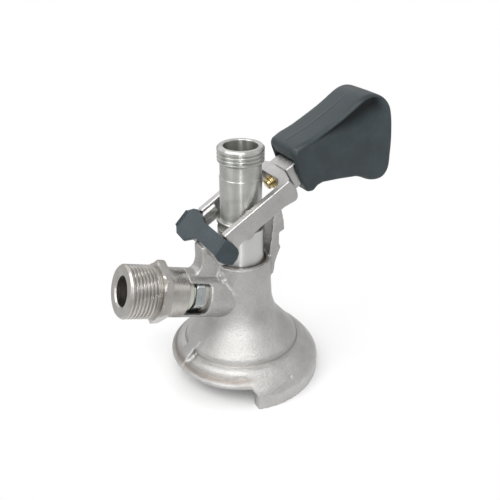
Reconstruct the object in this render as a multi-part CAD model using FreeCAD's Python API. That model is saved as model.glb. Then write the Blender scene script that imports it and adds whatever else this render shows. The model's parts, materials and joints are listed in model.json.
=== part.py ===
"""Flat-top keg coupler, +Z up along the probe axis, origin on that axis at the foot of the skirt.

The handle points to +X and the gas inlet to -X.  All lengths are millimetres, all angles degrees.
Parts of the inlet are drawn about their own axis (local z) and turned into place by on_inlet.
Parts of the lever are drawn flat (local x along the arms, z across them) and turned by on_lever.
"""
import os
import FreeCAD
import Part
from math import cos, radians, sin, sqrt

V = FreeCAD.Vector

# clearances
FIT_RUN = 0.05          # radial gap of a running fit
FIT_LOOSE = 0.30        # gap between faces that must never rub
FIT_SEAT = 0.02         # gap left under a seated ball

# base: shallow rim toward the inlet, deep slide-on skirt toward the handle
RIM_Z = 10.2            # underside of the rim, the plane that sits on the keg neck
RIM_R = 38.5
RIM_EDGE = 2.0          # height of the rim's cylindrical edge
SKIRT_R = 42.3
SKIRT_CUT_X = -12.0     # where the skirt stops toward the inlet
SKIRT_CUT_ROUND = 2.4   # rounding from the cut face up to the rim
SLOT_HALF = 37.2        # half width of the groove that takes the keg neck flange
LIP_HALF = 35.4         # half width between the lips under that groove
LIP_H = 2.8
RING_R = 33.8           # raised ring at the foot of the cone
RING_Z = 17.4
FOOT_R = 30.3           # crease between cone and ring
FOOT_Z = 18.9
STEP_Z = 21.6           # top of the small step above the crease
BARREL_TOP_Z = 67.0
BARREL_WALL = 1.6       # metal outside the ring seal's groove
KEG_SEAL_R = 26.9
KEG_SEAL_IN_R = 21.0
KEG_SEAL_H = 3.3
BELL_R = 23.6           # mouth of the bell above the keg seal
ANNULUS_Z = (35.0, 55.0)    # gas space round the probe
ANNULUS_GAP = 1.55

RIB_HALF = 3.6          # rib from the rim up the cone, toward the inlet
RIB_SIDE = [(-38.0, 12.0), (-37.6, 13.3), (-36.2, 14.6), (-26.4, 25.6), (-20.0, 25.6),
            (-28.0, 14.0)]
POCKET_PLAN = [(-28.2, -3.4), (-31.4, -8.2), (-36.4, -5.6), (-36.4, -3.4)]

# probe
SLEEVE_R = 11.9
BORE_R = SLEEVE_R + FIT_RUN
ANNULUS_R = BORE_R + ANNULUS_GAP
TUBE_R = 10.45
NECK_R = 10.2           # tube above the turned line
NECK_Z = 111.5
TUBE_BORE_R = 8.34
BEER_THREAD_R = 11.455  # crest radius of G5/8
BEER_THREAD_Z = 118.7
TUBE_TOP_Z = 126.5
COLLAR_R = 12.2
COLLAR_Z = (87.5, 89.4)
GROOVE_Z = 84.7
GROOVE_R = 10.4
SHOULDER_Z = 22.6
SPIGOT_R = 8.2
PROBE_FOOT_Z = 18.6
LIP_R = 9.0
LIP_TOP_Z = 19.4
PROBE_SEAL_R = 11.3
SEAT_R = 5.0
SEAT_Z = 25.4
BEER_BALL_R = 7.4
CHAMBER_WIDER = 0.3     # the ball's chamber is this much wider than the tube's bore
STOP_Z = 42.0
STOP_H = 2.0

# barrel seals
GLAND_R = BORE_R + 1.95
GLAND_Z = (60.4, 62.6)
BARREL_R = GLAND_R + BARREL_WALL
WIPER_R = BORE_R + 0.95
WIPER_Z = 64.6
WIPER_H = 1.9

# gas inlet, distances along its own axis from the probe axis
INLET_Z = 44.3
INLET_RISE = 17.7
PIPE_R = 12.56
BOSS_END = 25.2
WINDOW_END = 37.4
WINDOW_TOP = 8.9
WINDOW_LOW = -8.3
WINDOW_ROUND = 1.6      # corners of the window toward the barrel
SHANK_R = 8.0
SHANK_END = 17.2
SHANK_SEAT = 16.8
PASSAGE_R = 5.0
HEX_AF = 28.0
HEX_START = 46.6
HEX_END = 51.9
HEX_TURN = 14.6
RELIEF_R = 12.0
RELIEF_END = 53.1
GAS_THREAD_R = 13.22    # crest radius of G3/4
GAS_FACE = 68.1
GAS_BORE_R = 7.38
GAS_BORE_END = 44.0
SEAT_HOLE_R = 4.4
CHAMBER_R = 6.3
CHAMBER_END = 40.0
SEAT_RING_H = 1.6
GAS_BALL_R = 5.3
RETAINER_END = 18.6
RETAINER_H = 2.0
RETAINER_HOLE_R = 2.6
WASHER_H = 1.8
NUT_END = 32.2
NUT_R = 10.3            # over the turned corners of the hexagon
NUT_AF = 18.6
NUT_TURN = 15.0
BUSH_START = 33.0
BUSH_R = 9.4

# hinge and posts
PIN_X = -17.6
PIN_Z = 79.3
PIN_R = 2.4
EYE_R = 4.9
HEAD_R = 4.4
POST_X = (-24.1, -13.1)
POST_HALF = 4.5
CATCH_HALF = 8.0
CATCH_R = 38.9          # outer face of the catch, swung from the hinge pin
CATCH_TOP = 92.6

# lever, in its own flat frame
LEVER_Z = 100.32        # height of the top face above the probe axis
LEVER_TILT = 30.67
ARM_OUT = 16.5
ARM_IN = 12.6
ARM_DEPTH = 10.0
YOKE_DEPTH = 11.8       # the arms grow deeper toward the yoke
BUMP_U = -4.2           # lugs inside the arms, beside the tube
BUMP_W = -3.2
BUMP_R = 2.8
ARM_START = -20.6
PAD_IN = 11.2
PAD_END = -11.0
POCKET = 1.5
YOKE_IN = 17.8
YOKE_OUT = 20.2
YOKE_NECK = 23.7
YOKE_ROUND = 4.5
NECK_HALF = 7.8
NECK_END = 41.0
NECK_LOW = -12.9
NECK_TOP = -0.3
LUG_X = -3.0
LUG_Z = 86.1
LUG_R = 1.2
LUG_IN = 10.8          # inner ends of the drive pins, inside the collar groove
LUG_DEEP = 14.4
LUG_BOSS_R = 2.9
AXIS_W = -5.0           # plunger axis below the top face
TIP_R = 2.7
TIP_END = 13.9
STOP_R = 3.9
STOP_U = (26.4, 27.9)
ROD_R = 1.9
ROD_U = (22.0, 56.0)
BUSH_U = (15.9, 23.0)
BUSH_BODY_R = 3.3
BUSH_FLANGE_R = 3.8
SPRING_ROOM_R = 4.3
PLUG_U = 38.5

# grip
GRIP_HALF = 11.3
GRIP_ROUND = 1.6
GRIP_ROOM_HALF = 8.7
GRIP_ROOM_W = (NECK_LOW - FIT_LOOSE, 4.6)
GRIP_ROOM_END = 46.0
CROSS_U = 51.0
CROSS_R = 1.25
CROSS_HALF = 8.0
GRIP_TOP = [(30.6, 8.0), (36.0, 7.4), (43.0, 6.1), (52.0, 5.3), (61.0, 4.9), (69.5, 5.1),
            (76.0, 5.2), (80.4, 4.0), (84.0, 1.3), (86.8, -3.0), (87.9, -8.4), (87.0, -14.0),
            (84.4, -21.0), (80.6, -29.0), (77.2, -35.0), (73.2, -40.6), (68.9, -42.3),
            (63.8, -40.4), (60.1, -37.0), (57.4, -33.2), (54.6, -30.0)]
GRIP_UNDER = [(45.6, -23.9), (37.0, -18.6), (34.0, -18.0), (30.6, -18.8), (27.8, -17.2),
              (26.2, -13.8)]

# clip over the hinge end
CLIP_TILT = 46.0
CLIP_X = -17.6
CLIP_Z = 88.8
CLIP_T = 1.6
CHEEK_OUT = 18.3
CHEEK_IN = 16.6
CLIP_FAR_T = 2.3        # how far the strip climbs over the far arm
CLIP_PLAN = [(-0.3, -18.3), (-0.5, 4.5), (0.9, 8.5), (CLIP_FAR_T, 15.9), (1.1, 19.8), (-1.9, 23.6),
             (-11.5, 23.4), (-14.2, 18.9), (-14.5, 10.4), (-10.4, 4.6), (-9.2, 2.5),
             (-9.2, -18.3)]
CHEEK_SIDE = [(-21.0, -1.1), (-19.5, -5.0), (-19.0, -9.5), (-19.7, -11.9), (-22.0, -13.9),
              (-25.3, -14.9), (-27.9, -13.0), (-30.1, -7.6), (-29.8, -3.6)]
CLIP_EDGE_T = (-11.4, -1.9)     # upturned edge at the end of the finger tab
CLIP_EDGE_Y = (22.7, 23.5)
CLIP_EDGE_H = 0.8
PEG_R = 1.0
PEG_LEN = 1.4


def revolve(points):
    """Solid of revolution about z from a closed outline of (radius, height) points."""
    wire = Part.makePolygon([V(r, 0, z) for r, z in points + points[:1]])
    return Part.Face(wire).revolve(V(0, 0, 0), V(0, 0, 1), 360)


def tube(outer, inner, low, high):
    """Plain ring between two radii and two heights."""
    return revolve([(inner, low), (outer, low), (outer, high), (inner, high)])


def rod(radius, low, high):
    """Plain cylinder on the z axis."""
    return Part.makeCylinder(radius, high - low, V(0, 0, low))


def side_plate(points, low, high):
    """Prism whose outline lies in x-z, running from y = low to y = high."""
    wire = Part.makePolygon([V(x, low, z) for x, z in points + points[:1]])
    return Part.Face(wire).extrude(V(0, high - low, 0))


def plan_plate(points, low, high):
    """Prism whose outline lies in x-y, running from z = low to z = high."""
    wire = Part.makePolygon([V(x, y, low) for x, y in points + points[:1]])
    return Part.Face(wire).extrude(V(0, 0, high - low))


def six_sided(across, turn, low, high):
    """Hexagonal prism about z, its first corner turned from the x axis."""
    corner = across / sqrt(3)
    angles = [radians(turn + 60 * k) for k in range(6)]
    return plan_plate([(corner * cos(a), corner * sin(a)) for a in angles], low, high)


def block(x, y, z):
    """Box between the pairs x, y and z."""
    return Part.makeBox(x[1] - x[0], y[1] - y[0], z[1] - z[0], V(x[0], y[0], z[0]))


def cross_rod(radius, x, z, low, high):
    """Cylinder parallel to y."""
    return Part.makeCylinder(radius, high - low, V(x, low, z), V(0, 1, 0))


def lever_rod(radius, start, end):
    """Cylinder on the plunger axis of the flat lever frame."""
    return Part.makeCylinder(radius, end - start, V(start, 0, AXIS_W), V(1, 0, 0))


def on_lever(shape):
    """Turn a shape from the flat lever frame to its raised place."""
    placed = shape.copy()
    placed.rotate(V(0, 0, 0), V(0, 1, 0), -LEVER_TILT)
    placed.translate(V(0, 0, LEVER_Z))
    return placed


def on_clip(shape):
    """Turn a shape drawn flat, outer face at z = 0, to the slope of the clip strip."""
    placed = shape.copy()
    placed.rotate(V(0, 0, 0), V(0, 1, 0), -CLIP_TILT)
    placed.translate(V(CLIP_X, 0, CLIP_Z))
    return placed


def to_lever(x, z):
    """Flat lever coordinates of a point of the standing frame."""
    dz = z - LEVER_Z
    c, s = cos(radians(LEVER_TILT)), sin(radians(LEVER_TILT))
    return x * c + dz * s, dz * c - x * s


def on_inlet(shape):
    """Turn a shape drawn about z so that z becomes the inlet axis and x points up."""
    placed = shape.copy()
    placed.rotate(V(0, 0, 0), V(0, 1, 0), INLET_RISE - 90)
    placed.translate(V(0, 0, INLET_Z))
    return placed


def coil(radius, wire, length, turns):
    """Round-wire helix standing on z = 0, its ends inside the given length."""
    rise = length - 2 * wire
    path = Part.Wire(Part.makeHelix(rise / turns, rise, radius))
    start = Part.Wire(Part.makeCircle(wire, V(radius, 0, 0), V(0, 1, 0)))
    spring = path.makePipeShell([start], True, True)
    spring.translate(V(0, 0, wire))
    return spring


def ball(radius, height):
    """Sphere on the z axis."""
    return Part.makeSphere(radius, V(0, 0, height))


def save(name, shape):
    """Write one node."""
    shape.exportStep("parts/" + name + ".step")


def slot_tool(half, low, high):
    """Slide-in opening: straight sides toward -X and a round end about the probe axis."""
    way = block((-2 * SKIRT_R, 0), (-half, half), (low, high))
    return way.fuse(rod(half, low, high))


def make_skirt():
    """Deep horseshoe with its inward lips."""
    root = KEG_SEAL_R + 2.0
    shell = revolve([(root, RIM_Z + 4.0), (root, 0), (SKIRT_R, 0), (SKIRT_R, 7.2),
                     (SKIRT_R - 0.7, 8.9), (SKIRT_R - 1.7, 10.4), (SKIRT_R - 3.7, 12.8),
                     (SKIRT_R - 5.7, 14.9), (RING_R + 0.4, RING_Z - 0.7)])
    away = block((-2 * SKIRT_R, SKIRT_CUT_X), (-2 * SKIRT_R, 2 * SKIRT_R), (-1, RIM_Z))
    inner = V(SKIRT_CUT_X, -2 * SKIRT_R, RIM_Z - SKIRT_CUT_ROUND)
    keep = block((inner.x - SKIRT_CUT_ROUND, inner.x), (-SKIRT_R, SKIRT_R), (inner.z, RIM_Z))
    keep = keep.cut(cross_rod(SKIRT_CUT_ROUND, inner.x - SKIRT_CUT_ROUND, inner.z,
                              -2 * SKIRT_R, 2 * SKIRT_R))
    away = away.cut(keep)
    outside = tube(2 * SKIRT_R, root, RIM_Z - 0.5, RING_Z)
    outside = outside.common(block((-2 * SKIRT_R, SKIRT_CUT_X - 1.6),
                                   (-2 * SKIRT_R, 2 * SKIRT_R), (0, RING_Z)))
    shell = shell.cut(away).cut(outside)
    shell = shell.cut(slot_tool(SLOT_HALF, LIP_H, RIM_Z))
    return shell.cut(slot_tool(LIP_HALF, -1, LIP_H))


def make_bell():
    """Rim, raised ring, flared cone and barrel with everything bored on the probe axis."""
    flare = [(FOOT_R - 0.6, STEP_Z), (27.4, 24.2), (24.0, 28.2), (21.4, 31.4), (19.3, 34.6),
             (17.9, 37.9), (16.8, 41.6), (16.2, 45.5)]
    curve = Part.BSplineCurve()
    curve.interpolate([V(r, 0, z) for r, z in flare])
    valley = RIM_Z + RIM_EDGE + 0.8
    low = [(BELL_R, RIM_Z + KEG_SEAL_H), (KEG_SEAL_R, RIM_Z + KEG_SEAL_H), (KEG_SEAL_R, RIM_Z),
           (RIM_R, RIM_Z), (RIM_R, RIM_Z + RIM_EDGE), (RIM_R - 0.4, valley - 0.2),
           (RIM_R - 1.2, valley), (RIM_R - 2.1, valley + 0.5), (RIM_R - 2.9, valley + 1.3),
           (RING_R + 1.3, RING_Z - 2.0), (RING_R + 0.8, RING_Z - 1.0), (RING_R, RING_Z),
           (RING_R - 1.0, RING_Z + 0.7), (RING_R - 2.2, RING_Z + 1.2), (FOOT_R, FOOT_Z),
           flare[0]]
    high = [flare[-1], (BARREL_R, 57.0), (BARREL_R - 0.1, BARREL_TOP_Z - 0.5),
            (BARREL_R - 0.5, BARREL_TOP_Z), (WIPER_R, BARREL_TOP_Z), (WIPER_R, WIPER_Z),
            (BORE_R, WIPER_Z), (BORE_R, GLAND_Z[1]), (GLAND_R, GLAND_Z[1]),
            (GLAND_R, GLAND_Z[0]), (BORE_R, GLAND_Z[0]), (BORE_R, ANNULUS_Z[1]),
            (ANNULUS_R, ANNULUS_Z[1]), (ANNULUS_R, ANNULUS_Z[0]), (20.0, 24.6), low[0]]
    edges = [Part.makePolygon([V(r, 0, z) for r, z in low]).Edges,
             [curve.toShape()],
             Part.makePolygon([V(r, 0, z) for r, z in high]).Edges]
    wire = Part.Wire([edge for group in edges for edge in group])
    return Part.Face(wire).revolve(V(0, 0, 0), V(0, 0, 1), 360)


def make_posts():
    """Front post with its hinge head, and the rear catch with its notch."""
    left, right = POST_X
    stem = side_plate([(right, 57.0), (right, PIN_Z), (left, PIN_Z), (left, 71.0),
                       (left - 0.9, 67.8), (left - 3.4, 65.6), (left - 3.4, 64.5),
                       (left + 3.0, 62.5)], -POST_HALF, POST_HALF)
    head = cross_rod(HEAD_R, PIN_X, PIN_Z, FIT_LOOSE - PAD_IN, PAD_IN - FIT_LOOSE)
    reach = sqrt(CATCH_R ** 2 - (CATCH_TOP - 1.0 - PIN_Z) ** 2)
    middle = sqrt(CATCH_R ** 2 - (85.0 - PIN_Z) ** 2)
    catch = side_plate([(12.5, 56.0), (15.3, 56.0), (16.2, 63.0), (17.8, 67.2), (19.3, 70.8),
                        (18.2, 73.2), (18.1, 79.5), (PIN_X + CATCH_R - 0.1, 80.2),
                        (PIN_X + middle, 85.0), (PIN_X + reach, CATCH_TOP - 1.0),
                        (PIN_X + reach - 1.0, CATCH_TOP), (12.5, CATCH_TOP)],
                       -CATCH_HALF, CATCH_HALF)
    inside = revolve([(0, 67.0), (13.3, 67.0), (13.9, 68.0), (15.3, 76.5), (16.0, 86.4),
                      (16.4, 95.0), (0, 95.0)])
    return stem.fuse(head).fuse(catch.cut(inside))


def make_inlet_housing():
    """Boss on the barrel with the two bridges that reach the adaptor shoulder."""
    boss = on_inlet(tube(PIPE_R, 4.0, 9.0, BOSS_END))
    ring = tube(PIPE_R, NUT_R + FIT_LOOSE, BOSS_END - 1, WINDOW_END)
    wide = (-2 * PIPE_R, 2 * PIPE_R)
    window = block((WINDOW_LOW, WINDOW_TOP), wide, (BOSS_END, WINDOW_END + 1))
    corners = [e for e in window.Edges
               if e.BoundBox.YLength > PIPE_R and e.BoundBox.ZMax < WINDOW_END]
    window = window.makeFillet(WINDOW_ROUND, corners)
    return boss.fuse(on_inlet(ring.cut(window)))


def make_body():
    """The one-piece casting."""
    solid = make_bell().fuse(make_skirt())
    notch = side_plate([(-36.6, 13.6), (-33.7, 14.6), (-28.6, 17.6), (-28.6, 20.6),
                        (-36.6, 20.6)], -SKIRT_R, 0)
    notch = notch.common(plan_plate(POCKET_PLAN, 0, SKIRT_R))
    band = side_plate(RIB_SIDE, -RIB_HALF, RIB_HALF)
    solid = solid.cut(notch).fuse(band)
    solid = solid.fuse(make_inlet_housing()).fuse(make_posts())
    bores = revolve([(0, ANNULUS_Z[0] - 6), (ANNULUS_R, ANNULUS_Z[0] - 6),
                     (ANNULUS_R, ANNULUS_Z[1]), (BORE_R, ANNULUS_Z[1]),
                     (BORE_R, GLAND_Z[0]), (GLAND_R, GLAND_Z[0]), (GLAND_R, GLAND_Z[1]),
                     (BORE_R, GLAND_Z[1]), (BORE_R, WIPER_Z), (WIPER_R, WIPER_Z),
                     (WIPER_R, BARREL_TOP_Z + 1), (0, BARREL_TOP_Z + 1)])
    shank_bore = on_inlet(rod(SHANK_R + FIT_RUN, SHANK_SEAT, BOSS_END + 0.5))
    passage = on_inlet(rod(PASSAGE_R, 6.0, BOSS_END))
    solid = solid.cut(bores).cut(shank_bore).cut(passage)
    solid = solid.cut(cross_rod(PIN_R + FIT_RUN, PIN_X, PIN_Z, -ARM_OUT, ARM_OUT))
    return solid.removeSplitter()


def make_probe():
    """Turned beer tube: thread land, neck, collar with its groove, sleeve and foot."""
    room = TUBE_BORE_R + CHAMBER_WIDER
    outline = [(SEAT_R, PROBE_FOOT_Z), (LIP_R, PROBE_FOOT_Z), (LIP_R, LIP_TOP_Z),
               (SPIGOT_R, LIP_TOP_Z), (SPIGOT_R, SHOULDER_Z), (SLEEVE_R - 0.5, SHOULDER_Z),
               (SLEEVE_R, SHOULDER_Z + 0.5), (SLEEVE_R, GROOVE_Z - 0.3),
               (SLEEVE_R - 0.3, GROOVE_Z), (GROOVE_R, GROOVE_Z), (GROOVE_R, COLLAR_Z[0]),
               (COLLAR_R - 0.3, COLLAR_Z[0]), (COLLAR_R, COLLAR_Z[0] + 0.3),
               (COLLAR_R, COLLAR_Z[1] - 0.4), (COLLAR_R - 0.4, COLLAR_Z[1]),
               (TUBE_R, COLLAR_Z[1]), (TUBE_R, NECK_Z - 0.2), (NECK_R, NECK_Z),
               (NECK_R, BEER_THREAD_Z), (BEER_THREAD_R, BEER_THREAD_Z + 0.9),
               (BEER_THREAD_R, TUBE_TOP_Z - 0.9), (BEER_THREAD_R - 0.9, TUBE_TOP_Z),
               (TUBE_BORE_R + 0.3, TUBE_TOP_Z), (TUBE_BORE_R, TUBE_TOP_Z - 0.3),
               (TUBE_BORE_R, STOP_Z + STOP_H), (room, STOP_Z + STOP_H),
               (room, SEAT_Z + room - SEAT_R), (SEAT_R, SEAT_Z)]
    return revolve(outline)


def make_stop():
    """Ring with one bar that keeps the beer ball near its seat."""
    room = TUBE_BORE_R + CHAMBER_WIDER
    ring = tube(room, room - 1.6, STOP_Z, STOP_Z + STOP_H)
    reach = room - 0.8
    return ring.fuse(block((-reach, reach), (-1.1, 1.1), (STOP_Z, STOP_Z + STOP_H)))


def make_adaptor():
    """Gas inlet: thread land, hexagon, pipe and the shank that enters the boss."""
    land = revolve([(0, WINDOW_END), (PIPE_R, WINDOW_END), (PIPE_R, HEX_END - 1.0),
                    (RELIEF_R, HEX_END), (RELIEF_R, RELIEF_END),
                    (GAS_THREAD_R, RELIEF_END + 0.8),
                    (GAS_THREAD_R, GAS_FACE - 1.0), (GAS_THREAD_R - 1.0, GAS_FACE), (0, GAS_FACE)])
    corner = HEX_AF / sqrt(3)
    cone = revolve([(0, HEX_START - 1.0), (PIPE_R, HEX_START - 1.0),
                    (corner + 0.4, HEX_START + 1.2), (corner + 0.4, HEX_END - 1.3),
                    (HEX_AF / 2 - 0.3, HEX_END), (0, HEX_END)])
    hexagon = six_sided(HEX_AF, HEX_TURN, HEX_START - 1.0, HEX_END).common(cone)
    shank = rod(SHANK_R, SHANK_END, WINDOW_END + 1)
    bore = revolve([(0, SHANK_END - 1), (CHAMBER_R, SHANK_END - 1), (CHAMBER_R, CHAMBER_END),
                    (SEAT_HOLE_R, CHAMBER_END), (SEAT_HOLE_R, GAS_BORE_END),
                    (GAS_BORE_R, GAS_BORE_END + 2.0), (GAS_BORE_R, GAS_FACE - 0.8),
                    (GAS_BORE_R + 0.9, GAS_FACE + 0.1), (0, GAS_FACE + 0.1)])
    return land.fuse(hexagon).fuse(shank).cut(bore).removeSplitter()


def make_arm(side):
    """One fork arm with its hinge eye, inner pad and the boss of its drive pin."""
    eye_u, eye_w = to_lever(PIN_X, PIN_Z)
    lug_u, lug_w = to_lever(LUG_X, LUG_Z)
    flat = (min(side * ARM_IN, side * ARM_OUT), max(side * ARM_IN, side * ARM_OUT))
    pad = (min(side * PAD_IN, side * ARM_IN), max(side * PAD_IN, side * ARM_IN))
    arm = side_plate([(ARM_START, 0), (YOKE_OUT - 1.0, 0), (YOKE_OUT + 0.6, -1.2),
                      (YOKE_OUT + 1.4, -5.9), (YOKE_OUT + 0.8, -YOKE_DEPTH + 2.9),
                      (YOKE_OUT, -YOKE_DEPTH + 1.1), (YOKE_OUT - 1.7, -YOKE_DEPTH),
                      (YOKE_IN - 6.0, -ARM_DEPTH - 0.2),
                      (ARM_START - 0.2, -ARM_DEPTH), (eye_u + 1.5, eye_w - 4.6),
                      (eye_u - 1.2, eye_w + 4.75), (ARM_START - 0.2, -2.75)], *flat)
    arm = arm.fuse(cross_rod(EYE_R, eye_u, eye_w, *flat))
    recess = (min(side * ARM_IN, side * (ARM_IN + POCKET)),
              max(side * ARM_IN, side * (ARM_IN + POCKET)))
    arm = arm.cut(block((PAD_END + 3.5, YOKE_IN - 3.0), recess, (-8.2, -1.8)))
    lobe = (min(side * ARM_IN, side * LUG_DEEP), max(side * ARM_IN, side * LUG_DEEP))
    arm = arm.fuse(cross_rod(LUG_BOSS_R, lug_u, lug_w, *lobe))
    arm = arm.fuse(block((ARM_START, PAD_END), pad, (-6.0, -2.0)))
    arm = arm.fuse(cross_rod(BUMP_R, BUMP_U, BUMP_W, *pad))
    return arm.fuse(cross_rod(EYE_R, eye_u, eye_w, *pad))


def make_fork():
    """Cast fork: two arms, yoke and the neck bar that runs into the grip."""
    yoke = plan_plate([(YOKE_IN - YOKE_ROUND, ARM_OUT), (YOKE_IN - YOKE_ROUND, -ARM_OUT),
                       (YOKE_OUT, -ARM_OUT), (YOKE_OUT + 1.6, -ARM_OUT + 2.4),
                       (YOKE_NECK, -NECK_HALF - 0.6), (YOKE_NECK, NECK_HALF + 0.6),
                       (YOKE_OUT + 1.6, ARM_OUT - 2.4), (YOKE_OUT, ARM_OUT)],
                      -ARM_DEPTH, 0)
    opening = block((0, YOKE_IN - YOKE_ROUND), (-ARM_IN, ARM_IN), (-ARM_DEPTH - 1, 1))
    narrow = ARM_IN - YOKE_ROUND
    opening = opening.fuse(block((0, YOKE_IN), (-narrow, narrow), (-ARM_DEPTH - 1, 1)))
    for y in (-narrow, narrow):
        opening = opening.fuse(Part.makeCylinder(YOKE_ROUND, ARM_DEPTH + 2,
                                                 V(YOKE_IN - YOKE_ROUND, y, -ARM_DEPTH - 1)))
    fork = yoke.cut(opening)
    fork = fork.fuse(block((YOKE_IN + 2, NECK_END), (-NECK_HALF, NECK_HALF), (NECK_LOW, NECK_TOP)))
    for side in (-1, 1):
        fork = fork.fuse(make_arm(side))
    fork = fork.cut(lever_rod(BUSH_BODY_R, YOKE_IN - 2, BUSH_U[1] + 0.5))
    fork = fork.cut(lever_rod(SPRING_ROOM_R, BUSH_U[1], NECK_END + 1))
    eye_u, eye_w = to_lever(PIN_X, PIN_Z)
    lug_u, lug_w = to_lever(LUG_X, LUG_Z)
    fork = fork.cut(cross_rod(PIN_R, eye_u, eye_w, -ARM_OUT - 1, ARM_OUT + 1))
    for low, high in ((LUG_IN - 3, LUG_DEEP), (-LUG_DEEP, 3 - LUG_IN)):
        fork = fork.cut(cross_rod(LUG_R, lug_u, lug_w, low, high))
    fork = on_lever(fork)
    reach = 3 * CLIP_T
    for front, low in ((0.1, -2 * ARM_OUT), (CLIP_FAR_T + 0.2, PAD_IN - 2)):
        seat = block((-reach - ARM_OUT, front), (low, 2 * ARM_OUT), (-CLIP_T, reach))
        fork = fork.cut(on_clip(seat))
    return fork.removeSplitter()


def make_clip():
    """Moulded clip: strip over both arm ends, near cheek, far finger tab and two pegs."""
    strip = on_clip(plan_plate(CLIP_PLAN, -CLIP_T, 0))
    cheek = on_lever(side_plate(CHEEK_SIDE, -CHEEK_OUT, -CHEEK_IN))
    peg = cross_rod(PEG_R, PIN_X, PIN_Z, -CHEEK_IN, PEG_LEN - ARM_OUT)
    edge = on_clip(block(CLIP_EDGE_T, CLIP_EDGE_Y, (-CLIP_T, CLIP_EDGE_H)))
    return strip.fuse(cheek).fuse(peg).fuse(edge).removeSplitter()


def make_grip():
    """Hollow moulded grip with a swept paddle outline."""
    curve = Part.BSplineCurve()
    curve.interpolate([V(u, -GRIP_HALF, w) for u, w in GRIP_TOP])
    under = [GRIP_TOP[-1]] + GRIP_UNDER + [(27.9, -5.0), (29.4, 3.6), GRIP_TOP[0]]
    edges = [curve.toShape()]
    edges += Part.makePolygon([V(u, -GRIP_HALF, w) for u, w in under]).Edges
    solid = Part.Face(Part.Wire(edges)).extrude(V(0, 2 * GRIP_HALF, 0))
    rims = [e for e in solid.Edges if e.BoundBox.YLength < FIT_SEAT]
    solid = solid.makeFillet(GRIP_ROUND, rims)
    solid = solid.cut(block((20, GRIP_ROOM_END), (-GRIP_ROOM_HALF, GRIP_ROOM_HALF), GRIP_ROOM_W))
    solid = solid.cut(lever_rod(ROD_R, GRIP_ROOM_END - 1, ROD_U[1]))
    solid = solid.cut(cross_rod(CROSS_R, CROSS_U, AXIS_W, -CROSS_HALF, CROSS_HALF))
    return on_lever(solid)


def make_plunger():
    """Brass plunger with its stop collar and the hole for the rod."""
    body = lever_rod(TIP_R, TIP_END, STOP_U[0]).fuse(lever_rod(STOP_R, *STOP_U))
    return on_lever(body.cut(lever_rod(ROD_R, ROD_U[0], STOP_U[1] + 1)).removeSplitter())


def make_rod():
    """Pull rod with the cross hole for its pin."""
    return on_lever(lever_rod(ROD_R, *ROD_U).cut(
        cross_rod(CROSS_R, CROSS_U, AXIS_W, -2 * ROD_R, 2 * ROD_R)))


def make_bush():
    """Flanged brass bush in the yoke wall."""
    body = lever_rod(BUSH_BODY_R, YOKE_IN, BUSH_U[1])
    body = body.fuse(lever_rod(BUSH_FLANGE_R, BUSH_U[0], YOKE_IN))
    return on_lever(body.cut(lever_rod(TIP_R + FIT_RUN, BUSH_U[0] - 1, BUSH_U[1] + 1)))


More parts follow.
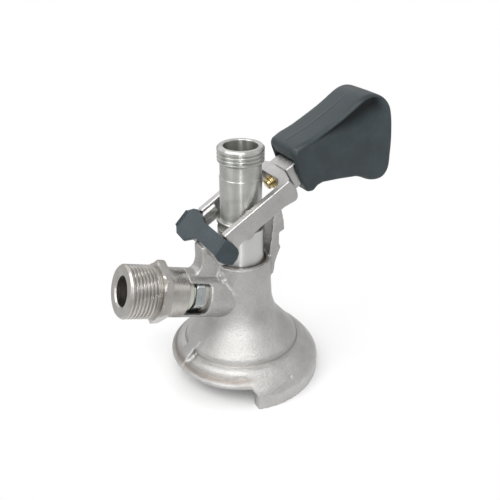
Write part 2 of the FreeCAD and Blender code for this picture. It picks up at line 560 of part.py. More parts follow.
def main():
    """Build every node."""
    os.makedirs("parts", exist_ok=True)
    save("body", make_body())
    save("probe", make_probe())
    save("probe_seal", tube(PROBE_SEAL_R, SPIGOT_R, LIP_TOP_Z, SHOULDER_Z))
    drop = (BEER_BALL_R + FIT_SEAT) * sqrt(2) - SEAT_R
    save("beer_ball", ball(BEER_BALL_R, SEAT_Z + drop))
    save("beer_ball_stop", make_stop())
    save("keg_seal", tube(KEG_SEAL_R, KEG_SEAL_IN_R, RIM_Z - 0.3, RIM_Z + KEG_SEAL_H))
    gland = (GLAND_R - BORE_R) / 2
    ring = Part.makeTorus(BORE_R + gland, gland, V(0, 0, sum(GLAND_Z) / 2))
    save("barrel_ring", ring)
    save("barrel_wiper", tube(WIPER_R, BORE_R, WIPER_Z, WIPER_Z + WIPER_H))
    save("inlet_adaptor", on_inlet(make_adaptor()))
    washer_end = BOSS_END + WASHER_H
    save("inlet_washer", on_inlet(tube(NUT_R - 0.5, SHANK_R, BOSS_END, washer_end)))
    nut = six_sided(NUT_AF, NUT_TURN, washer_end, NUT_END)
    save("inlet_ring_nut", on_inlet(nut.common(tube(NUT_R, SHANK_R, washer_end, NUT_END))))
    save("inlet_bush", on_inlet(tube(BUSH_R, SHANK_R, BUSH_START, WINDOW_END)))
    seat = CHAMBER_END - SEAT_RING_H
    save("gas_seat_ring", on_inlet(tube(CHAMBER_R, SEAT_HOLE_R, seat, CHAMBER_END)))
    middle = seat - sqrt((GAS_BALL_R + FIT_SEAT) ** 2 - SEAT_HOLE_R ** 2)
    save("gas_ball", on_inlet(ball(GAS_BALL_R, middle)))
    retainer = RETAINER_END + RETAINER_H
    save("gas_retainer", on_inlet(tube(CHAMBER_R, RETAINER_HOLE_R, RETAINER_END, retainer)))
    spring = coil(3.5, 0.4, middle - 4.25 - retainer, 4)
    spring.translate(V(0, 0, retainer))
    save("gas_spring", on_inlet(spring))
    save("fork", make_fork())
    hinge = cross_rod(PIN_R, PIN_X, PIN_Z, -ARM_OUT, ARM_OUT)
    save("hinge_pin", hinge.cut(cross_rod(PEG_R, PIN_X, PIN_Z, -ARM_OUT - 1, PEG_LEN - ARM_OUT)))
    lugs = [cross_rod(LUG_R, LUG_X, LUG_Z, LUG_IN, LUG_DEEP),
            cross_rod(LUG_R, LUG_X, LUG_Z, -LUG_DEEP, -LUG_IN)]
    save("drive_pins", Part.makeCompound(lugs))
    save("pin_clip", make_clip())
    save("latch_bush", make_bush())
    save("latch_plunger", make_plunger())
    save("latch_rod", make_rod())
    spring = coil(3.1, 0.45, PLUG_U - STOP_U[1], 5)
    spring.rotate(V(0, 0, 0), V(0, 1, 0), 90)
    spring.translate(V(STOP_U[1], 0, AXIS_W))
    save("latch_spring", on_lever(spring))
    plug = lever_rod(SPRING_ROOM_R, PLUG_U, NECK_END)
    save("latch_plug", on_lever(plug.cut(lever_rod(ROD_R + FIT_RUN, PLUG_U - 1, NECK_END + 1))))
    save("grip", make_grip())
    save("grip_pin", on_lever(cross_rod(CROSS_R, CROSS_U, AXIS_W, -CROSS_HALF, CROSS_HALF)))


main()
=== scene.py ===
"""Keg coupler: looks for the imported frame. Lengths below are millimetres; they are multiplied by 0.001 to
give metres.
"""
import json
import math
import bmesh
import bpy
import numpy as np
from mathutils import Matrix, Vector


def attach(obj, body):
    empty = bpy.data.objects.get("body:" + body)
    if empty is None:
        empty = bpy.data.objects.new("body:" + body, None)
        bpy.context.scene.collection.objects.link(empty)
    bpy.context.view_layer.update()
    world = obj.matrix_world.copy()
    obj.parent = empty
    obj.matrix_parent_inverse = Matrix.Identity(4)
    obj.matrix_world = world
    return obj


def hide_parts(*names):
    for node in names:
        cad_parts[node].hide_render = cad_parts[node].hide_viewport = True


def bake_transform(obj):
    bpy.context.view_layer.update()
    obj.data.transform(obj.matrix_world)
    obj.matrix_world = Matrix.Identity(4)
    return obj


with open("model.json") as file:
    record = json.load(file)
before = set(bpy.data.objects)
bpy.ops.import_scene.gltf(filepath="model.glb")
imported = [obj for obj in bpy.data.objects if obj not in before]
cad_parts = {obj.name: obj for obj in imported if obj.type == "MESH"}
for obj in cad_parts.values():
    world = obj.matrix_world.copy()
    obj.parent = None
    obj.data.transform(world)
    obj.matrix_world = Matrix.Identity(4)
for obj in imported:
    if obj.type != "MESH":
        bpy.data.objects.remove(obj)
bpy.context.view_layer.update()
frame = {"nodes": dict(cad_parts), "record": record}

INLET_RISE = math.radians(17.7)
INLET_Z = 44.3
LEVER_TILT = math.radians(30.67)
LEVER_Z = 100.32
CLIP_TILT = math.radians(46.0)
AXIS_W = -5.0
PITCH = 1.814        # both threads, 14 turns to the inch
BEER_THREAD_R = 11.455
GAS_THREAD_R = 13.22
HEX_AF = 28.0
HEX_TURN = 14.6
NUT_AF = 18.6
NUT_TURN = 15.0
GRIP_HALF = 11.3
BORE_CLEAR_R = 12.15


# Places
def inlet_place(p):
    """Points (x up, y, z along the inlet) turned so z points along the inlet axis and moved to it."""
    c, s = math.cos(INLET_RISE), math.sin(INLET_RISE)
    return np.stack([p[..., 0] * s - p[..., 2] * c, p[..., 1],
                     p[..., 0] * c + p[..., 2] * s + INLET_Z], -1)


def lever_place(p):
    """Points (u along the arms, y, w across) turned up by the lever's slope and lifted to it."""
    c, s = math.cos(LEVER_TILT), math.sin(LEVER_TILT)
    return np.stack([p[..., 0] * c - p[..., 2] * s, p[..., 1],
                     p[..., 0] * s + p[..., 2] * c + LEVER_Z], -1)


def plunger_place(p):
    """Points drawn about z, laid on the plunger axis: z becomes u, x becomes w."""
    return lever_place(np.stack([p[..., 2], p[..., 1], AXIS_W + p[..., 0]], -1))


# Meshes
def link(name, mesh):
    """New object of the mesh, in the scene."""
    obj = bpy.data.objects.new(name, mesh)
    bpy.context.scene.collection.objects.link(obj)
    return obj


def merged(mesh):
    """The mesh with the doubled points of its facets made one."""
    bm = bmesh.new()
    bm.from_mesh(mesh)
    bmesh.ops.remove_doubles(bm, verts=bm.verts, dist=1e-6)
    bm.to_mesh(mesh)
    bm.free()
    return mesh


def points(mesh):
    """The mesh's points in mm, one row each."""
    co = np.empty(len(mesh.vertices) * 3, np.float32)
    mesh.vertices.foreach_get("co", co)
    return co.reshape(-1, 3).astype(float) * 1000


def put(name, verts, faces, material, body, stands_for=(), smooth=35.0):
    """A closed mesh from arrays of points in mm and faces, doubles merged, faces turned outward."""
    mesh = bpy.data.meshes.new(name)
    mesh.from_pydata((verts * 0.001).tolist(), [], faces)
    bm = bmesh.new()
    bm.from_mesh(mesh)
    bmesh.ops.remove_doubles(bm, verts=bm.verts, dist=2e-6)
    bmesh.ops.dissolve_degenerate(bm, edges=bm.edges, dist=1e-6)
    bmesh.ops.recalc_face_normals(bm, faces=bm.faces)
    bm.to_mesh(mesh)
    bm.free()
    mesh.materials.append(material)
    obj = link(name, mesh)
    soften(mesh, smooth)
    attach(obj, body)
    if stands_for:
        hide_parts(*stands_for)
    return obj


def soften(mesh, angle):
    """Smooth shading, with edges sharper than the angle in degrees marked sharp."""
    mesh.shade_smooth()
    bm = bmesh.new()
    bm.from_mesh(mesh)
    limit = math.radians(angle)
    for edge in bm.edges:
        if len(edge.link_faces) == 2:
            edge.smooth = edge.calc_face_angle(0.0) < limit
    bm.to_mesh(mesh)
    bm.free()


def grid_faces(rows, cols):
    """Quads of a rows by cols sheet whose columns close round."""
    i, j = np.meshgrid(np.arange(rows - 1), np.arange(cols), indexing="ij")
    k = (j + 1) % cols
    return np.stack([i * cols + j, i * cols + k, (i + 1) * cols + k, (i + 1) * cols + j],
                    -1).reshape(-1, 4).tolist()


def turned(profile, columns=96, closed=True, shape=None):
    """Surface of revolution: point (r, z) of the profile goes to (r cos a, r sin a, z).

    shape(r, z, a) may change the radius; a closed profile joins its last point to its first.
    """
    pts = np.array(profile + profile[:1] if closed else profile, float)
    a = np.arange(columns) * 2 * np.pi / columns
    r = np.repeat(pts[:, :1], columns, 1)
    z = np.repeat(pts[:, 1:], columns, 1)
    if shape is not None:
        r = shape(r, z, a[None, :])
    return np.stack([r * np.cos(a), r * np.sin(a), z], -1).reshape(-1, 3), grid_faces(len(pts), columns)


def rounded(profile, radius, steps=4):
    """Closed profile with each corner cut back by the radius and rounded: a quadratic arc whose
    control point is the corner and whose ends lie on the two sides. A point on each side, one and a
    half cuts from the corner, keeps the straight sides straight in the shading."""
    pts = np.array(profile, float)
    out = []
    for k in range(len(pts)):
        a, b, c = pts[k - 1], pts[k], pts[(k + 1) % len(pts)]
        cut = min(radius, 0.45 * np.linalg.norm(a - b), 0.45 * np.linalg.norm(c - b))
        p = b + (a - b) / np.linalg.norm(a - b) * cut
        q = b + (c - b) / np.linalg.norm(c - b) * cut
        t = np.linspace(0, 1, steps + 1)[:, None]
        before = b + (a - b) * min(0.49, 1.5 * cut / np.linalg.norm(a - b))
        after = b + (c - b) * min(0.49, 1.5 * cut / np.linalg.norm(c - b))
        arc = (1 - t) ** 2 * p + 2 * t * (1 - t) * b + t ** 2 * q
        out.append(np.concatenate([[before], arc, [after]]))
    return [tuple(v) for v in np.concatenate(out)]


def fine(profile, low, high, step):
    """The profile with extra points every step along the side that runs from low to high at one radius."""
    out = []
    for (r0, z0), (r1, z1) in zip(profile, profile[1:] + profile[:1]):
        out.append((r0, z0))
        if abs(r0 - r1) < 1e-6 and min(z0, z1) >= low - 0.01 and max(z0, z1) <= high + 0.01:
            n = int(abs(z1 - z0) / step)
            out += [(r0, z0 + (z1 - z0) * k / n) for k in range(1, n)]
    return out


def screw(crest, depth, land, low, high, run_in, run_out):
    """Radius change for a pipe thread: depth times the part of a cosine wave of z/pitch - a/turn
    that stands above the land's share, faded in over run_in and out over run_out."""
    def shape(r, z, a):
        phase = np.mod((z - low) / PITCH - a / (2 * np.pi), 1.0)
        wave = 0.5 + 0.5 * np.cos(2 * np.pi * phase)
        wave = np.clip((wave - land) / (1 - land), 0, 1)
        fade = np.clip((z - low) / run_in, 0, 1) * np.clip((high - z) / run_out, 0, 1)
        here = (z > low) & (z < high) & (np.abs(r - crest) < 0.02)
        return np.where(here, r - depth * wave * fade, r)
    return shape


def cast_copy(name, node, voxel, rounds, material, body, reach=None, tilt=0.0):
    """A node's solid remeshed on cubes of the voxel size and relaxed, which rounds every edge and
    fillets every corner as casting or moulding does. The cubes lie square to the piece's slope, tilt,
    so that its flats stay flat. reach(points) may then move points, in mm."""
    mesh = merged(frame["nodes"][node].data.copy())
    mesh.transform(Matrix.Rotation(tilt, 4, "Y"))
    work = link(name + "_work", mesh)
    cubes = work.modifiers.new("cubes", "REMESH")
    cubes.mode = "VOXEL"
    cubes.voxel_size = voxel * 0.001
    relax = work.modifiers.new("relax", "SMOOTH")
    relax.factor = 0.5
    relax.iterations = rounds
    done = bpy.data.meshes.new_from_object(
        work.evaluated_get(bpy.context.evaluated_depsgraph_get()))
    bpy.data.objects.remove(work)
    done.transform(Matrix.Rotation(-tilt, 4, "Y"))
    if reach is not None:
        moved = reach(points(done)) * 0.001
        done.vertices.foreach_set("co", moved.astype(np.float32).ravel())
    done.name = name
    done.materials.clear()
    done.materials.append(material)
    obj = link(name, done)
    done.shade_smooth()
    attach(obj, body)
    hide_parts(node)
    return obj


def colour(text):
    """Linear RGBA of an sRGB hex colour."""
    v = [int(text[k:k + 2], 16) / 255 for k in (1, 3, 5)]
    return [c / 12.92 if c <= 0.04045 else ((c + 0.055) / 1.055) ** 2.4 for c in v] + [1.0]


def add(tree, kind, settings=None, links=None):
    """A node with its settings: names of sockets by their text, of properties by a leading dot;
    links give (input, source socket)."""
    node = tree.nodes.new(kind)
    for key, value in (settings or {}).items():
        if isinstance(key, str) and key.startswith("."):
            setattr(node, key[1:], value)
        else:
            node.inputs[key].default_value = value
    for key, source in (links or {}).items():
        tree.links.new(source, node.inputs[key])
    return node


def ramp(tree, source, stops):
    """Colour ramp from (position, colour) stops."""
    node = add(tree, "ShaderNodeValToRGB", links={0: source})
    band = node.color_ramp
    while len(band.elements) < len(stops):
        band.elements.new(0.5)
    for element, (place, value) in zip(band.elements, stops):
        element.position = place
        element.color = value if not isinstance(value, str) else colour(value)
    return node.outputs["Color"]


def grey(value):
    """RGBA of one linear grey."""
    return [value, value, value, 1.0]


def maths(tree, operation, links, second=None):
    """Output of a Math node; second is its second number where no link gives it."""
    settings = {".operation": operation}
    if second is not None:
        settings[1] = second
    return add(tree, "ShaderNodeMath", settings, links).outputs[0]


def spread(tree, value, low, high, to_low=0.0, to_high=1.0):
    """The value spread from low and high to to_low and to_high, and held there beyond them."""
    settings = {"From Min": low, "From Max": high, "To Min": to_low, "To Max": to_high}
    return add(tree, "ShaderNodeMapRange", settings, {"Value": value}).outputs[0]


def tinted(tree, tone, text, share):
    """The tone turned to the hex colour by the share."""
    settings = {".data_type": "RGBA", 7: colour(text)}
    return add(tree, "ShaderNodeMix", settings, {0: share, 6: tone}).outputs[2]


def start(name):
    """New material with its Principled shader and Object coordinates."""
    material = bpy.data.materials.new(name)
    material.use_nodes = True
    tree = material.node_tree
    shader = tree.nodes["Principled BSDF"]
    coords = add(tree, "ShaderNodeTexCoord").outputs["Object"]
    return material, tree, shader, coords


def cast_finish(name, base, dark, pit, grain_mm, rough, bump, painted_shade_bands=()):
    """Investment-cast stainless steel, blasted and tumbled: satin, with a sparkle of fine grain, slow waves
    from the wax pattern and slightly darker patches. Each band of the last argument lays painted shade
    round the probe axis."""
    material, tree, shader, coords = start(name)
    shader.inputs["Metallic"].default_value = 1.0
    grain = add(tree, "ShaderNodeTexNoise", {"Scale": 1000 / grain_mm, "Detail": 3.0, "Roughness": 0.6},
                {"Vector": coords})
    waves = add(tree, "ShaderNodeTexNoise", {"Scale": 1000 / 9.0, "Detail": 1.0}, {"Vector": coords})
    patch = add(tree, "ShaderNodeTexNoise", {"Scale": 1000 / 16.0, "Detail": 4.0, "Roughness": 0.65},
                {"Vector": coords})
    tone = ramp(tree, patch.outputs["Fac"], [(0.35, dark), (0.62, base)])
    speck = ramp(tree, grain.outputs["Fac"], [(0.36, grey(pit)), (0.5, grey(0.96)), (0.64, grey(1.0))])
    tone = add(tree, "ShaderNodeMix", {".data_type": "RGBA", ".blend_type": "MULTIPLY", 0: 1.0},
               {6: tone, 7: speck}).outputs[2]
    for low, high, top, until, shade_colour in painted_shade_bands:
        # painted shade round the probe axis: a soft band of radius, under a height, up to an x, tinting the
        # tone toward the band's colour
        place = add(tree, "ShaderNodeSeparateXYZ", links={0: coords})
        ring = add(tree, "ShaderNodeCombineXYZ",
                   links={"X": place.outputs["X"], "Y": place.outputs["Y"]}).outputs[0]
        far = add(tree, "ShaderNodeVectorMath", {".operation": "LENGTH"}, {0: ring}).outputs["Value"]
        half = (high - low) * 0.0005
        off = maths(tree, "ABSOLUTE", {0: maths(tree, "SUBTRACT", {0: far}, low * 0.001 + half)})
        band = spread(tree, off, half, 0.1 * half)
        under = maths(tree, "LESS_THAN", {0: place.outputs["Z"]}, top * 0.001)
        reach = spread(tree, place.outputs["X"], until * 0.001, until * 0.001 - 0.006)
        share = maths(tree, "MULTIPLY", {0: maths(tree, "MULTIPLY", {0: band, 1: under}), 1: reach})
        tone = tinted(tree, tone, shade_colour, share)
    tree.links.new(tone, shader.inputs["Base Color"])
    tree.links.new(ramp(tree, grain.outputs["Fac"], [(0.3, grey(rough - 0.06)), (0.7, grey(rough + 0.08))]),
                   shader.inputs["Roughness"])
    slow = add(tree, "ShaderNodeBump", {"Strength": 0.3, "Distance": 0.0003},
               {"Height": waves.outputs["Fac"]})
    fast = add(tree, "ShaderNodeBump", {"Strength": bump, "Distance": 0.0004},
               {"Height": grain.outputs["Fac"], "Normal": slow.outputs["Normal"]})
    tree.links.new(fast.outputs["Normal"], shader.inputs["Normal"])
    return material


def turned_finish(name, base, dark, rough, axis, pitch_mm=0.45, strength=0.25, polished=None):
    """Lathe-turned metal: fine rings round the axis, drawn coarse enough to show, and faint
    streaks of tarnish along them. axis turns the coordinates so that z runs along the part.
    polished is the height in mm under which the turning was polished away to a paler gloss."""
    material, tree, shader, coords = start(name)
    shader.inputs["Metallic"].default_value = 1.0
    along = add(tree, "ShaderNodeMapping", {"Rotation": axis}, {"Vector": coords}).outputs[0]
    z = add(tree, "ShaderNodeSeparateXYZ", links={0: along}).outputs["Z"]
    flat = add(tree, "ShaderNodeCombineXYZ", links={"Z": z}).outputs[0]
    rings = add(tree, "ShaderNodeTexNoise", {"Scale": 1000 / pitch_mm, "Detail": 2.0, "Roughness": 0.7},
                {"Vector": flat})
    streak = add(tree, "ShaderNodeTexNoise", {"Scale": 1000 / 7.0, "Detail": 3.0}, {"Vector": along})
    tone = ramp(tree, streak.outputs["Fac"], [(0.35, dark), (0.6, base)])
    if polished is not None:
        tone = tinted(tree, tone, "#dedfdd", maths(tree, "LESS_THAN", {0: z}, polished * 0.001))
    tree.links.new(tone, shader.inputs["Base Color"])
    tree.links.new(ramp(tree, rings.outputs["Fac"], [(0.3, grey(rough - 0.05)), (0.7, grey(rough + 0.07))]),
                   shader.inputs["Roughness"])
    if axis == UPRIGHT:
        # turned by a pointed tool: light spreads along the axis, which draws upright lines of it
        shader.inputs["Anisotropic"].default_value = 0.85
        shader.inputs["Anisotropic Rotation"].default_value = 0.25
        round_z = add(tree, "ShaderNodeTangent", {".direction_type": "RADIAL", ".axis": "Z"})
        tree.links.new(round_z.outputs[0], shader.inputs["Tangent"])
    bump = add(tree, "ShaderNodeBump", {"Strength": strength, "Distance": 0.00004},
               {"Height": rings.outputs["Fac"]})
    tree.links.new(bump.outputs["Normal"], shader.inputs["Normal"])
    return material


def moulded_finish(name, base, light, rough, grain_mm=0.45, strength=0.25, painted_edge_shade=None):
    """Moulded plastic or rubber: fine eroded texture from the mould, handled paler in patches.
    The last argument, unless None, is the colour of painted shade, laid on where the piece's attribute of
    that name says shade falls, with the gloss lowered there."""
    material, tree, shader, coords = start(name)
    shader.inputs["IOR"].default_value = 1.5
    grain = add(tree, "ShaderNodeTexNoise", {"Scale": 1000 / grain_mm, "Detail": 2.0}, {"Vector": coords})
    worn = add(tree, "ShaderNodeTexNoise", {"Scale": 1000 / 14.0, "Detail": 5.0, "Roughness": 0.7},
               {"Vector": coords})
    tone = ramp(tree, worn.outputs["Fac"], [(0.4, base), (0.7, light)])
    # painted shade under the grip's near top edge: a darker tone and less gloss where the attribute says
    if painted_edge_shade is not None:
        share = add(tree, "ShaderNodeAttribute", {".attribute_name": "painted_edge_shade"}).outputs["Fac"]
        tone = tinted(tree, tone, painted_edge_shade, share)
        dull = spread(tree, share, 0.0, 1.0, 0.5, 0.15)
        tree.links.new(dull, shader.inputs["Specular IOR Level"])
    tree.links.new(tone, shader.inputs["Base Color"])
    gloss = ramp(tree, worn.outputs["Fac"], [(0.35, grey(rough - 0.05)), (0.65, grey(rough + 0.08))])
    tree.links.new(gloss, shader.inputs["Roughness"])
    bump = add(tree, "ShaderNodeBump", {"Strength": strength, "Distance": 0.00006},
               {"Height": grain.outputs["Fac"]})
    tree.links.new(bump.outputs["Normal"], shader.inputs["Normal"])
    return material


UPRIGHT = (0.0, 0.0, 0.0)
ALONG_INLET = (0.0, math.pi / 2 - INLET_RISE, 0.0)
ALONG_LEVER = (0.0, -(math.pi / 2 - LEVER_TILT), 0.0)
ALONG_Y = (math.pi / 2, 0.0, 0.0)

# two bands of painted shade: a dark line in the crease at the foot of the cone, and a dark brownish
# reflection painted into the hollow between ring and rim edge, on the rim side only
CAST = cast_finish("cast_stainless", "#cbcac8", "#bcbab8", 0.87, 0.9, 0.35, 1.0,
                   ((29.9, 31.2, 19.9, 60.0, "#9c9792"), (34.4, 38.2, 16.6, -8.0, "#968f89")))
FORK_CAST = cast_finish("cast_fork", "#cecdcc", "#c1bfbe", 0.93, 0.8, 0.33, 0.35)
TUBE = turned_finish("turned_stainless", "#cccdc9", "#bcbdb8", 0.32, UPRIGHT, 0.4, 0.12,
                     84.6)
INLET = turned_finish("turned_inlet", "#cac7c3", "#bbb7b2", 0.26, ALONG_INLET, 0.45, 0.25)
ZINC = turned_finish("zinc_plate", "#c6cbca", "#b2b9b9", 0.24, ALONG_INLET)
PIN = turned_finish("ground_pin", "#c6c6c6", "#aaaaaa", 0.15, ALONG_Y)
ROD = turned_finish("drawn_rod", "#c4c4c4", "#a6a6a6", 0.18, ALONG_LEVER)
BRASS = turned_finish("turned_brass", "#e2cf9e", "#c9b47e", 0.3, ALONG_LEVER)
# the grip's last colour is painted shade for the band under its near top edge
GRIP = moulded_finish("polyamide_grip", "#2a3336", "#343f43", 0.38, 0.45, 0.25, "#0c1012")
CLIP = moulded_finish("acetal_clip", "#2b363b", "#38444a", 0.22, 0.6, 0.15)
RUBBER = moulded_finish("nitrile_rubber", "#191919", "#262626", 0.55)
WIPER = moulded_finish("wiper_rubber", "#4a3a2e", "#5c4a3b", 0.5)
PALE = moulded_finish("acetal_bush", "#b6b8ad", "#c4c6bb", 0.3)

BY_SLOT = {"cast_steel": CAST, "turned_steel": TUBE, "bright_steel": ROD, "brass": BRASS,
           "grip_plastic": GRIP, "clip_plastic": CLIP, "black_rubber": RUBBER,
           "brown_rubber": WIPER, "white_plastic": PALE}
for part in frame["record"]["subparts"]:
    held = frame["nodes"][part["node"]]
    held.data.materials.clear()
    held.data.materials.append(BY_SLOT[part["material_slot"]])


# Castings and mouldings
def ream(p):
    """Bore wall pushed back to clear the sleeve: points nearer the probe axis go out to BORE_CLEAR_R."""
    r = np.hypot(p[:, 0], p[:, 1])
    near = (r < 12.6) & (p[:, 2] > 53) & (p[:, 2] < 68) & (r > 8)
    grow = np.where(near, np.maximum(r, BORE_CLEAR_R) / np.maximum(r, 1e-6), 1.0)
    return np.stack([p[:, 0] * grow, p[:, 1] * grow, p[:, 2]], -1)


def ease(value, low, high):
    """0 below low, 1 above high, and 3t^2 - 2t^3 between."""
    t = np.clip((value - low) / (high - low), 0, 1)
    return t * t * (3 - 2 * t)


RIM_SLOPE = [(35.1, 15.4), (35.6, 14.3), (36.4, 13.5), (37.3, 13.0), (38.1, 12.8), (38.5, 12.4)]
SKIRT_SLOPE = [(34.2, 16.7), (36.6, 14.9), (38.6, 12.8), (40.6, 10.4)]


def cast_marks(p):
    """Bore cleared, the rim's hollow run out into the skirt, two small pits sunk in the skirt and the
    bead left by a casting gate where boss meets barrel.

    Where rim meets skirt the height becomes the rim's (1 - t) plus the skirt's t, with t easing from
    0 to 1 along x; at a pit points go in toward the probe axis by depth exp(-(distance / 0.9)^2), and
    the bead is two swellings of high exp(-(distance / wide)^2) out of the crease."""
    p = ream(p)
    r = np.hypot(p[:, 0], p[:, 1])
    t = ease(p[:, 0], -21.0, -9.5)
    rim = np.interp(r, [q[0] for q in RIM_SLOPE], [q[1] for q in RIM_SLOPE])
    skirt = np.interp(r, [q[0] for q in SKIRT_SLOPE], [q[1] for q in SKIRT_SLOPE])
    run = rim * (1 - t) + skirt * t
    share = ease(p[:, 0], -23.0, -20.0) * ease(-p[:, 0], 8.5, 10.5) * ease(r, 35.2, 35.8)
    share = share * ease(-r, -38.3, -37.6) * ease(-np.abs(p[:, 2] - run), -2.4, -1.4)
    p[:, 2] += (run - p[:, 2]) * share
    for pit, depth in (((7.9, -38.6, 11.84), 0.6), ((16.4, -34.0, 13.7), 0.4)):
        d = np.linalg.norm(p - pit, axis=1)
        pull = depth * np.exp(-(d / 0.9) ** 2)
        inward = -np.array(pit) / np.linalg.norm(pit)
        p = p + pull[:, None] * inward
    for bead, wide, high in (((-14.7, -5.5, 62.0), 1.5, 2.4), ((-13.5, -7.7, 59.8), 0.9, 1.1)):
        d = np.linalg.norm(p - bead, axis=1)
        p = p + (high * np.exp(-(d / wide) ** 2))[:, None] * np.array((-0.6, -0.7, 0.38))
    return p


GRIP_FRONT = [(-17.2, 27.8), (-5.0, 27.9), (3.6, 29.4), (8.0, 30.6)]
GRIP_TOP = [(26.0, 8.0), (30.6, 8.0), (36.0, 7.4), (43.0, 6.1), (52.0, 5.3), (61.0, 4.9), (76.0, 5.2),
            (80.4, 4.0), (84.0, 1.3), (86.8, -3.0), (87.9, -8.4)]


def lever_parts(p):
    """The u, y and w of points, the inverse of lever_place."""
    c, s = math.cos(LEVER_TILT), math.sin(LEVER_TILT)
    z = p[:, 2] - LEVER_Z
    return p[:, 0] * c + z * s, p[:, 1], z * c - p[:, 0] * s


def grip_crown(p):
    """Top of the grip made roof-like with soft edges, its front corners rounded, the near side
    hollowed for the fingers and a mould line along the top.

    Where the depths under the front, side and top faces are less than a radius, 3 mm at the front and
    1.3 mm from u = 42 on, the point is drawn to a ball of that radius. On the near side w falls by
    0.035 |y| + 0.7 ((|y| - 8) / 3.3)^2 and the side goes in by 1.4 mm under the edge; the far side
    leans out to 1.4 mm more; the mould line rises 0.2 exp(-((y - 1.5) / 0.45)^2); the ceiling of the
    room comes down to just clear the neck."""
    u, y, w = lever_parts(p)
    top = np.interp(u, [g[0] for g in GRIP_TOP], [g[1] for g in GRIP_TOP])
    face = np.interp(w, [g[0] for g in GRIP_FRONT], [g[1] for g in GRIP_FRONT])
    deep = np.stack([u - face, GRIP_HALF - np.abs(y), top - w], -1)
    ball = 3.0 - 1.7 * ease(u, 31.0, 42.0)
    short = np.clip(ball[:, None] - deep, 0, None)
    size = np.linalg.norm(short, axis=1)
    outer = (size > ball) & (u < 43)
    cut = np.where(outer[:, None], short * (1 - ball / np.maximum(size, 1e-6))[:, None], 0.0)
    u, y, w = u + cut[:, 0], y - np.sign(y) * cut[:, 1], w - cut[:, 2]
    near = np.clip((w - top + 7.0) / 7.0, 0, 1)
    edge = np.clip((np.abs(y) - 8.0) / 3.3, 0, 1)
    fall = near * (0.035 * np.abs(y) + 0.7 * edge ** 2) * (y < 0)
    seam = 0.2 * np.exp(-((y - 1.5) / 0.45) ** 2) * (top - w < 0.6)
    seam = seam * ease(u, 33.0, 36.0) * ease(-u, -76.0, -70.0)
    hollow = (np.abs(y) < 9.0) & (w > 3.2) & (w < 5.4) & (u < 46.6) & (top - w > 0.9)
    drop = top - w
    dish = 1.4 * ease(drop, 1.0, 5.0) * ease(-drop, -17.0, -6.0)
    dish = dish * ease(u, 36.0, 58.0) * ease(-u, -85.0, -76.0)
    lean = 1.4 * np.clip(1 - drop / 22.0, 0, 1) * ease(y, 5.0, 11.0)
    wide = y + lean + dish * ease(-y, 8.0, 10.6)
    return lever_place(np.stack([u, wide, w - np.where(hollow, 3.0, fall) + seam * (1 - hollow)], -1))


cast_copy("body_casting", "body", 0.62, 3, CAST, "base", cast_marks)
cast_copy("fork_casting", "fork", 0.34, 8, FORK_CAST, "lever", tilt=LEVER_TILT)
handle = cast_copy("grip_moulding", "grip", 0.46, 5, GRIP, "latch", grip_crown, LEVER_TILT)
cast_copy("clip_moulding", "pin_clip", 0.2, 1, CLIP, "lever", tilt=CLIP_TILT)


def painted_shade_share(p):
    """Share of painted shade at each of the grip's points: on the near side a band just under the upper
    edge, which widens from 3.5 mm at the front to 14.5 mm at the back."""
    u, y, w = lever_parts(p)
    drop = np.interp(u, [g[0] for g in GRIP_TOP], [g[1] for g in GRIP_TOP]) - w
    band = 1 - ease(drop / (3.5 + 11.0 * ease(u, 40.0, 76.0)), 0.25, 1.0)
    band = band * ease(drop, 1.0, 2.4) * ease(-y, 8.6, 9.6)
    return band * ease(u, 34.0, 56.0) * ease(-u, -86.0, -80.0)


# painted shade stored on the grip's points, as a share for its material
painted_edge_shade = handle.data.attributes.new("painted_edge_shade", "FLOAT", "POINT")
painted_edge_shade.data.foreach_set("value", painted_shade_share(points(handle.data)).astype(np.float32))

# Turned pieces
probe = [(5.0, 18.6), (9.0, 18.6), (9.0, 19.4), (8.2, 19.4), (8.2, 22.6), (11.4, 22.6), (11.9, 23.1),
         (11.9, 84.4), (11.6, 84.7), (10.4, 84.7), (10.4, 87.5), (11.9, 87.5), (12.2, 87.8),
         (12.2, 89.0), (11.8, 89.4), (10.45, 89.4), (10.45, 111.2), (10.2, 111.5), (10.2, 118.2),
         (10.5, 118.7), (BEER_THREAD_R, 119.5), (BEER_THREAD_R, 125.6), (10.6, 126.5), (8.64, 126.5),
         (8.34, 126.2), (8.34, 44.0), (8.64, 44.0), (8.64, 29.04), (5.0, 25.4)]
probe = fine(rounded(probe, 0.12, 2), 119.4, 125.8, 0.15)
v, f = turned(probe, 128, shape=screw(BEER_THREAD_R, 0.95, 0.15, 119.2, 125.0, 0.5, 0.8))
put("probe_tube", v, f, TUBE, "probe_set", ("probe",), 40)

wiper = [(12.05, 64.7), (12.88, 64.7), (12.88, 66.3), (12.5, 66.6), (12.02, 66.2)]
v, f = turned(rounded(wiper, 0.1, 2), 96)
put("wiper_ring", v, f, WIPER, "base", ("barrel_wiper",))

adaptor = [(8.0, 17.2), (8.0, 37.4), (12.56, 37.4), (12.56, 46.6), (15.6, 47.3), (16.6, 48.3), (16.6, 50.9),
        (13.8, 51.9), (12.0, 52.2), (12.0, 53.0), (GAS_THREAD_R, 53.9), (GAS_THREAD_R, 67.1), (12.3, 68.1),
        (8.2, 68.1), (7.38, 67.3), (7.38, 46.0), (4.4, 44.0), (4.4, 40.0), (6.3, 40.0), (6.3, 17.2)]
adaptor = fine(rounded(adaptor, 0.15, 2), 53.8, 67.3, 0.15)


def flats(across, turn, a):
    """Radius of a hexagon at angle a: half its width over the cosine of the angle from the nearest
    flat's middle; turn is the place of its first corner in degrees."""
    off = np.mod(a - math.radians(turn), math.pi / 3) - math.pi / 6
    return across / 2 / np.cos(off)


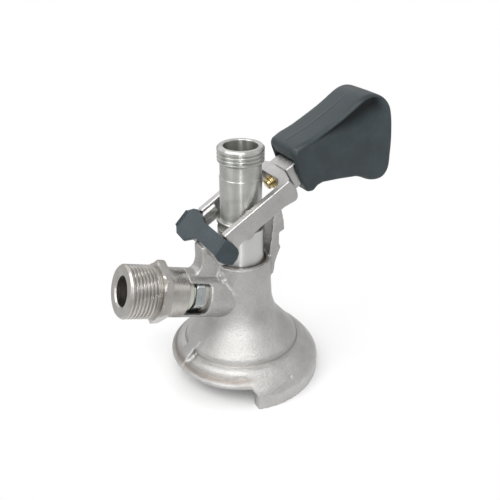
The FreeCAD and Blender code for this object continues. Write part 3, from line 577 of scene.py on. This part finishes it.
def hexed(r, z, a):
    """Radius cut back to the flats where the hexagon stands; elsewhere the thread."""
    flat = flats(HEX_AF, HEX_TURN, a) + 0 * r
    r = np.where((z > 46.5) & (z < 52) & (r > 12.5), np.minimum(r, flat), r)
    return screw(GAS_THREAD_R, 0.8, 0.45, 53.4, 67.5, 1.2, 0.7)(r, z, a)


v, f = turned(adaptor, 180, shape=hexed)
put("inlet_body", inlet_place(v), f, INLET, "base", ("inlet_adaptor",), 32)

v, f = turned(rounded([(8.0, 25.2), (9.8, 25.2), (9.8, 27.0), (8.0, 27.0)], 0.2), 96)
put("inlet_washer_ring", inlet_place(v), f, INLET, "base", ("inlet_washer",))
nut = rounded([(8.0, 27.0), (9.8, 27.0), (10.3, 27.6), (10.3, 31.6), (9.8, 32.2), (8.0, 32.2)], 0.12, 2)
v, f = turned(nut, 180, shape=lambda r, z, a: np.minimum(r, flats(NUT_AF, NUT_TURN, a) + 0 * r))
put("inlet_nut", inlet_place(v), f, ZINC, "base", ("inlet_ring_nut",))
v, f = turned(rounded([(8.0, 33.0), (9.0, 33.0), (9.4, 33.6), (9.4, 37.38), (8.0, 37.38)], 0.2), 96)
put("inlet_sleeve", inlet_place(v), f, PALE, "base", ("inlet_bush",))

bush = [(2.75, 15.9), (3.3, 15.9), (3.7, 16.2), (3.7, 16.7), (3.35, 16.9), (3.35, 17.15), (3.8, 17.3),
        (3.8, 17.8), (3.3, 17.8), (3.3, 23.0), (2.75, 23.0)]
v, f = turned(rounded(bush, 0.08, 2), 64)
put("latch_sleeve", plunger_place(v), f, BRASS, "lever", ("latch_bush",))
tip = [(0.0, 13.9), (2.1, 13.9), (2.7, 14.5), (2.7, 26.4), (3.9, 26.4), (3.9, 27.9), (1.9, 27.9),
       (1.9, 22.0), (0.0, 22.0)]
v, f = turned(tip, 64, closed=False)
put("latch_nose", plunger_place(v), f, BRASS, "latch", ("latch_plunger",))


def pressed(name, node, place):
    """A node's coil as a piece of its own, its shading softened and its node hidden; it is not tied to any
    body. place lays a point drawn about z on the coil's axis; the ends of low and high z along it are
    worked out but not used."""
    mesh = merged(frame["nodes"][node].data.copy())
    mesh.name = name
    obj = link(name, mesh)
    soften(mesh, 40)
    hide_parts(node)
    origin, unit = place(np.array([[0.0, 0.0, 0.0], [0.0, 0.0, 1.0]]))
    along = (points(mesh) - origin) @ (unit - origin)
    low, high = (place(np.array([0.0, 0.0, z])) * 0.001 for z in (along.min(), along.max()))
    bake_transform(obj)


pressed("latch_coil", "latch_spring", plunger_place)
pressed("gas_coil", "gas_spring", inlet_place)


# Stage
def studio():
    """Pale floor that turns plain white away from the object, one softbox high over the camera,
    weak fills, and a world that is white to the camera and nearly so to gloss, but gives the
    object only a plain level of light."""
    floor = bpy.data.meshes.new("floor")
    floor.from_pydata([(-3, -3, 0), (3, -3, 0), (3, 3, 0), (-3, 3, 0)], [], [(0, 1, 2, 3)])
    paper = bpy.data.materials.new("floor_paper")
    paper.use_nodes = True
    tree = paper.node_tree
    shader = tree.nodes["Principled BSDF"]
    shader.inputs["Roughness"].default_value = 1.0
    shader.inputs["Base Color"].default_value = colour("#fdfdfd")
    shader.inputs["Specular IOR Level"].default_value = 0.0
    coords = add(tree, "ShaderNodeTexCoord").outputs["Object"]
    far = add(tree, "ShaderNodeVectorMath", {".operation": "LENGTH"}, {0: coords}).outputs["Value"]
    away = spread(tree, far, 0.035, 0.13)
    path = add(tree, "ShaderNodeLightPath")
    plain = maths(tree, "MAXIMUM", {0: path.outputs["Is Camera Ray"], 1: path.outputs["Is Glossy Ray"]})
    share = maths(tree, "MULTIPLY", {0: away, 1: plain})
    shown = spread(tree, path.outputs["Is Camera Ray"], 0.0, 1.0, 0.66, 1.0)
    white = add(tree, "ShaderNodeEmission", {"Color": (1, 1, 1, 1)}, {"Strength": shown})
    both = add(tree, "ShaderNodeMixShader", links={0: share, 1: shader.outputs[0], 2: white.outputs[0]})
    tree.links.new(both.outputs[0], tree.nodes["Material Output"].inputs["Surface"])
    floor.materials.append(paper)
    link("floor", floor)

    world = bpy.data.worlds.new("studio")
    bpy.context.scene.world = world
    world.use_nodes = True
    tree = world.node_tree
    back = tree.nodes["Background"]
    path = add(tree, "ShaderNodeLightPath")
    rays = {0: path.outputs["Is Camera Ray"], 1: path.outputs["Is Transmission Ray"]}
    seen = maths(tree, "MAXIMUM", rays)
    up = add(tree, "ShaderNodeSeparateXYZ", links={0: add(tree, "ShaderNodeTexCoord").outputs["Generated"]})
    sky = spread(tree, up.outputs["Z"], 0.0, 0.9, 0.48, 0.76)
    soft = spread(tree, up.outputs["Z"], -1.0, 1.0, 0.32, 0.66)
    gloss = add(tree, "ShaderNodeMix", {0: 0.0},
                {0: path.outputs["Is Glossy Ray"], 2: soft, 3: sky}).outputs[0]
    level = maths(tree, "MAXIMUM", {0: gloss, 1: seen})
    back.inputs["Color"].default_value = (1, 1, 1, 1)
    tree.links.new(level, back.inputs["Strength"])

    for name, place, size, power in (("softbox_key", (-0.42, -0.78, 1.3), (0.8, 0.45), 4.7),
                                     ("strip_front", (-0.36, -0.66, 0.36), (0.035, 0.7), 1.3),
                                     ("softbox_top", (-0.65, 0.1, 1.15), (0.9, 0.9), 6.0),
                                     ("softbox_left", (-1.0, -0.1, 0.45), (0.6, 0.6), 1.5),
                                     ("softbox_back", (-0.05, 0.98, 0.68), (1.6, 0.7), 1.5),
                                     ("softbox_right", (0.9, -0.6, 0.6), (0.6, 0.6), 0.6)):
        lamp = bpy.data.lights.new(name, "AREA")
        lamp.shape = "RECTANGLE"
        lamp.size = size[0]
        lamp.size_y = size[1]
        lamp.energy = power
        thing = link(name, lamp)
        thing.location = place
        thing.rotation_euler = (Vector((0, 0, 0.06)) - Vector(place)).to_track_quat("-Z", "Y").to_euler()


def camera():
    """Camera fitted to the photo: a short lens close to the object, looking 28 degrees down."""
    cam = bpy.data.cameras.new("camera")
    cam.sensor_fit = "HORIZONTAL"
    cam.sensor_width = 36.0
    cam.lens = 43.9
    cam.clip_start = 0.01
    obj = link("camera", cam)
    forward = Vector((0.432, 0.766, -0.476)).normalized()
    right = Vector((0.871, -0.491, 0.0044)).normalized()
    up = right.cross(forward).normalized()
    right = forward.cross(up)
    turn = Matrix((right, up, -forward)).transposed()
    obj.matrix_world = Matrix.Translation((-0.13146, -0.24250, 0.21960)) @ turn.to_4x4()
    bpy.context.scene.camera = obj


studio()
camera()
bpy.context.scene.view_settings.view_transform = "Standard"
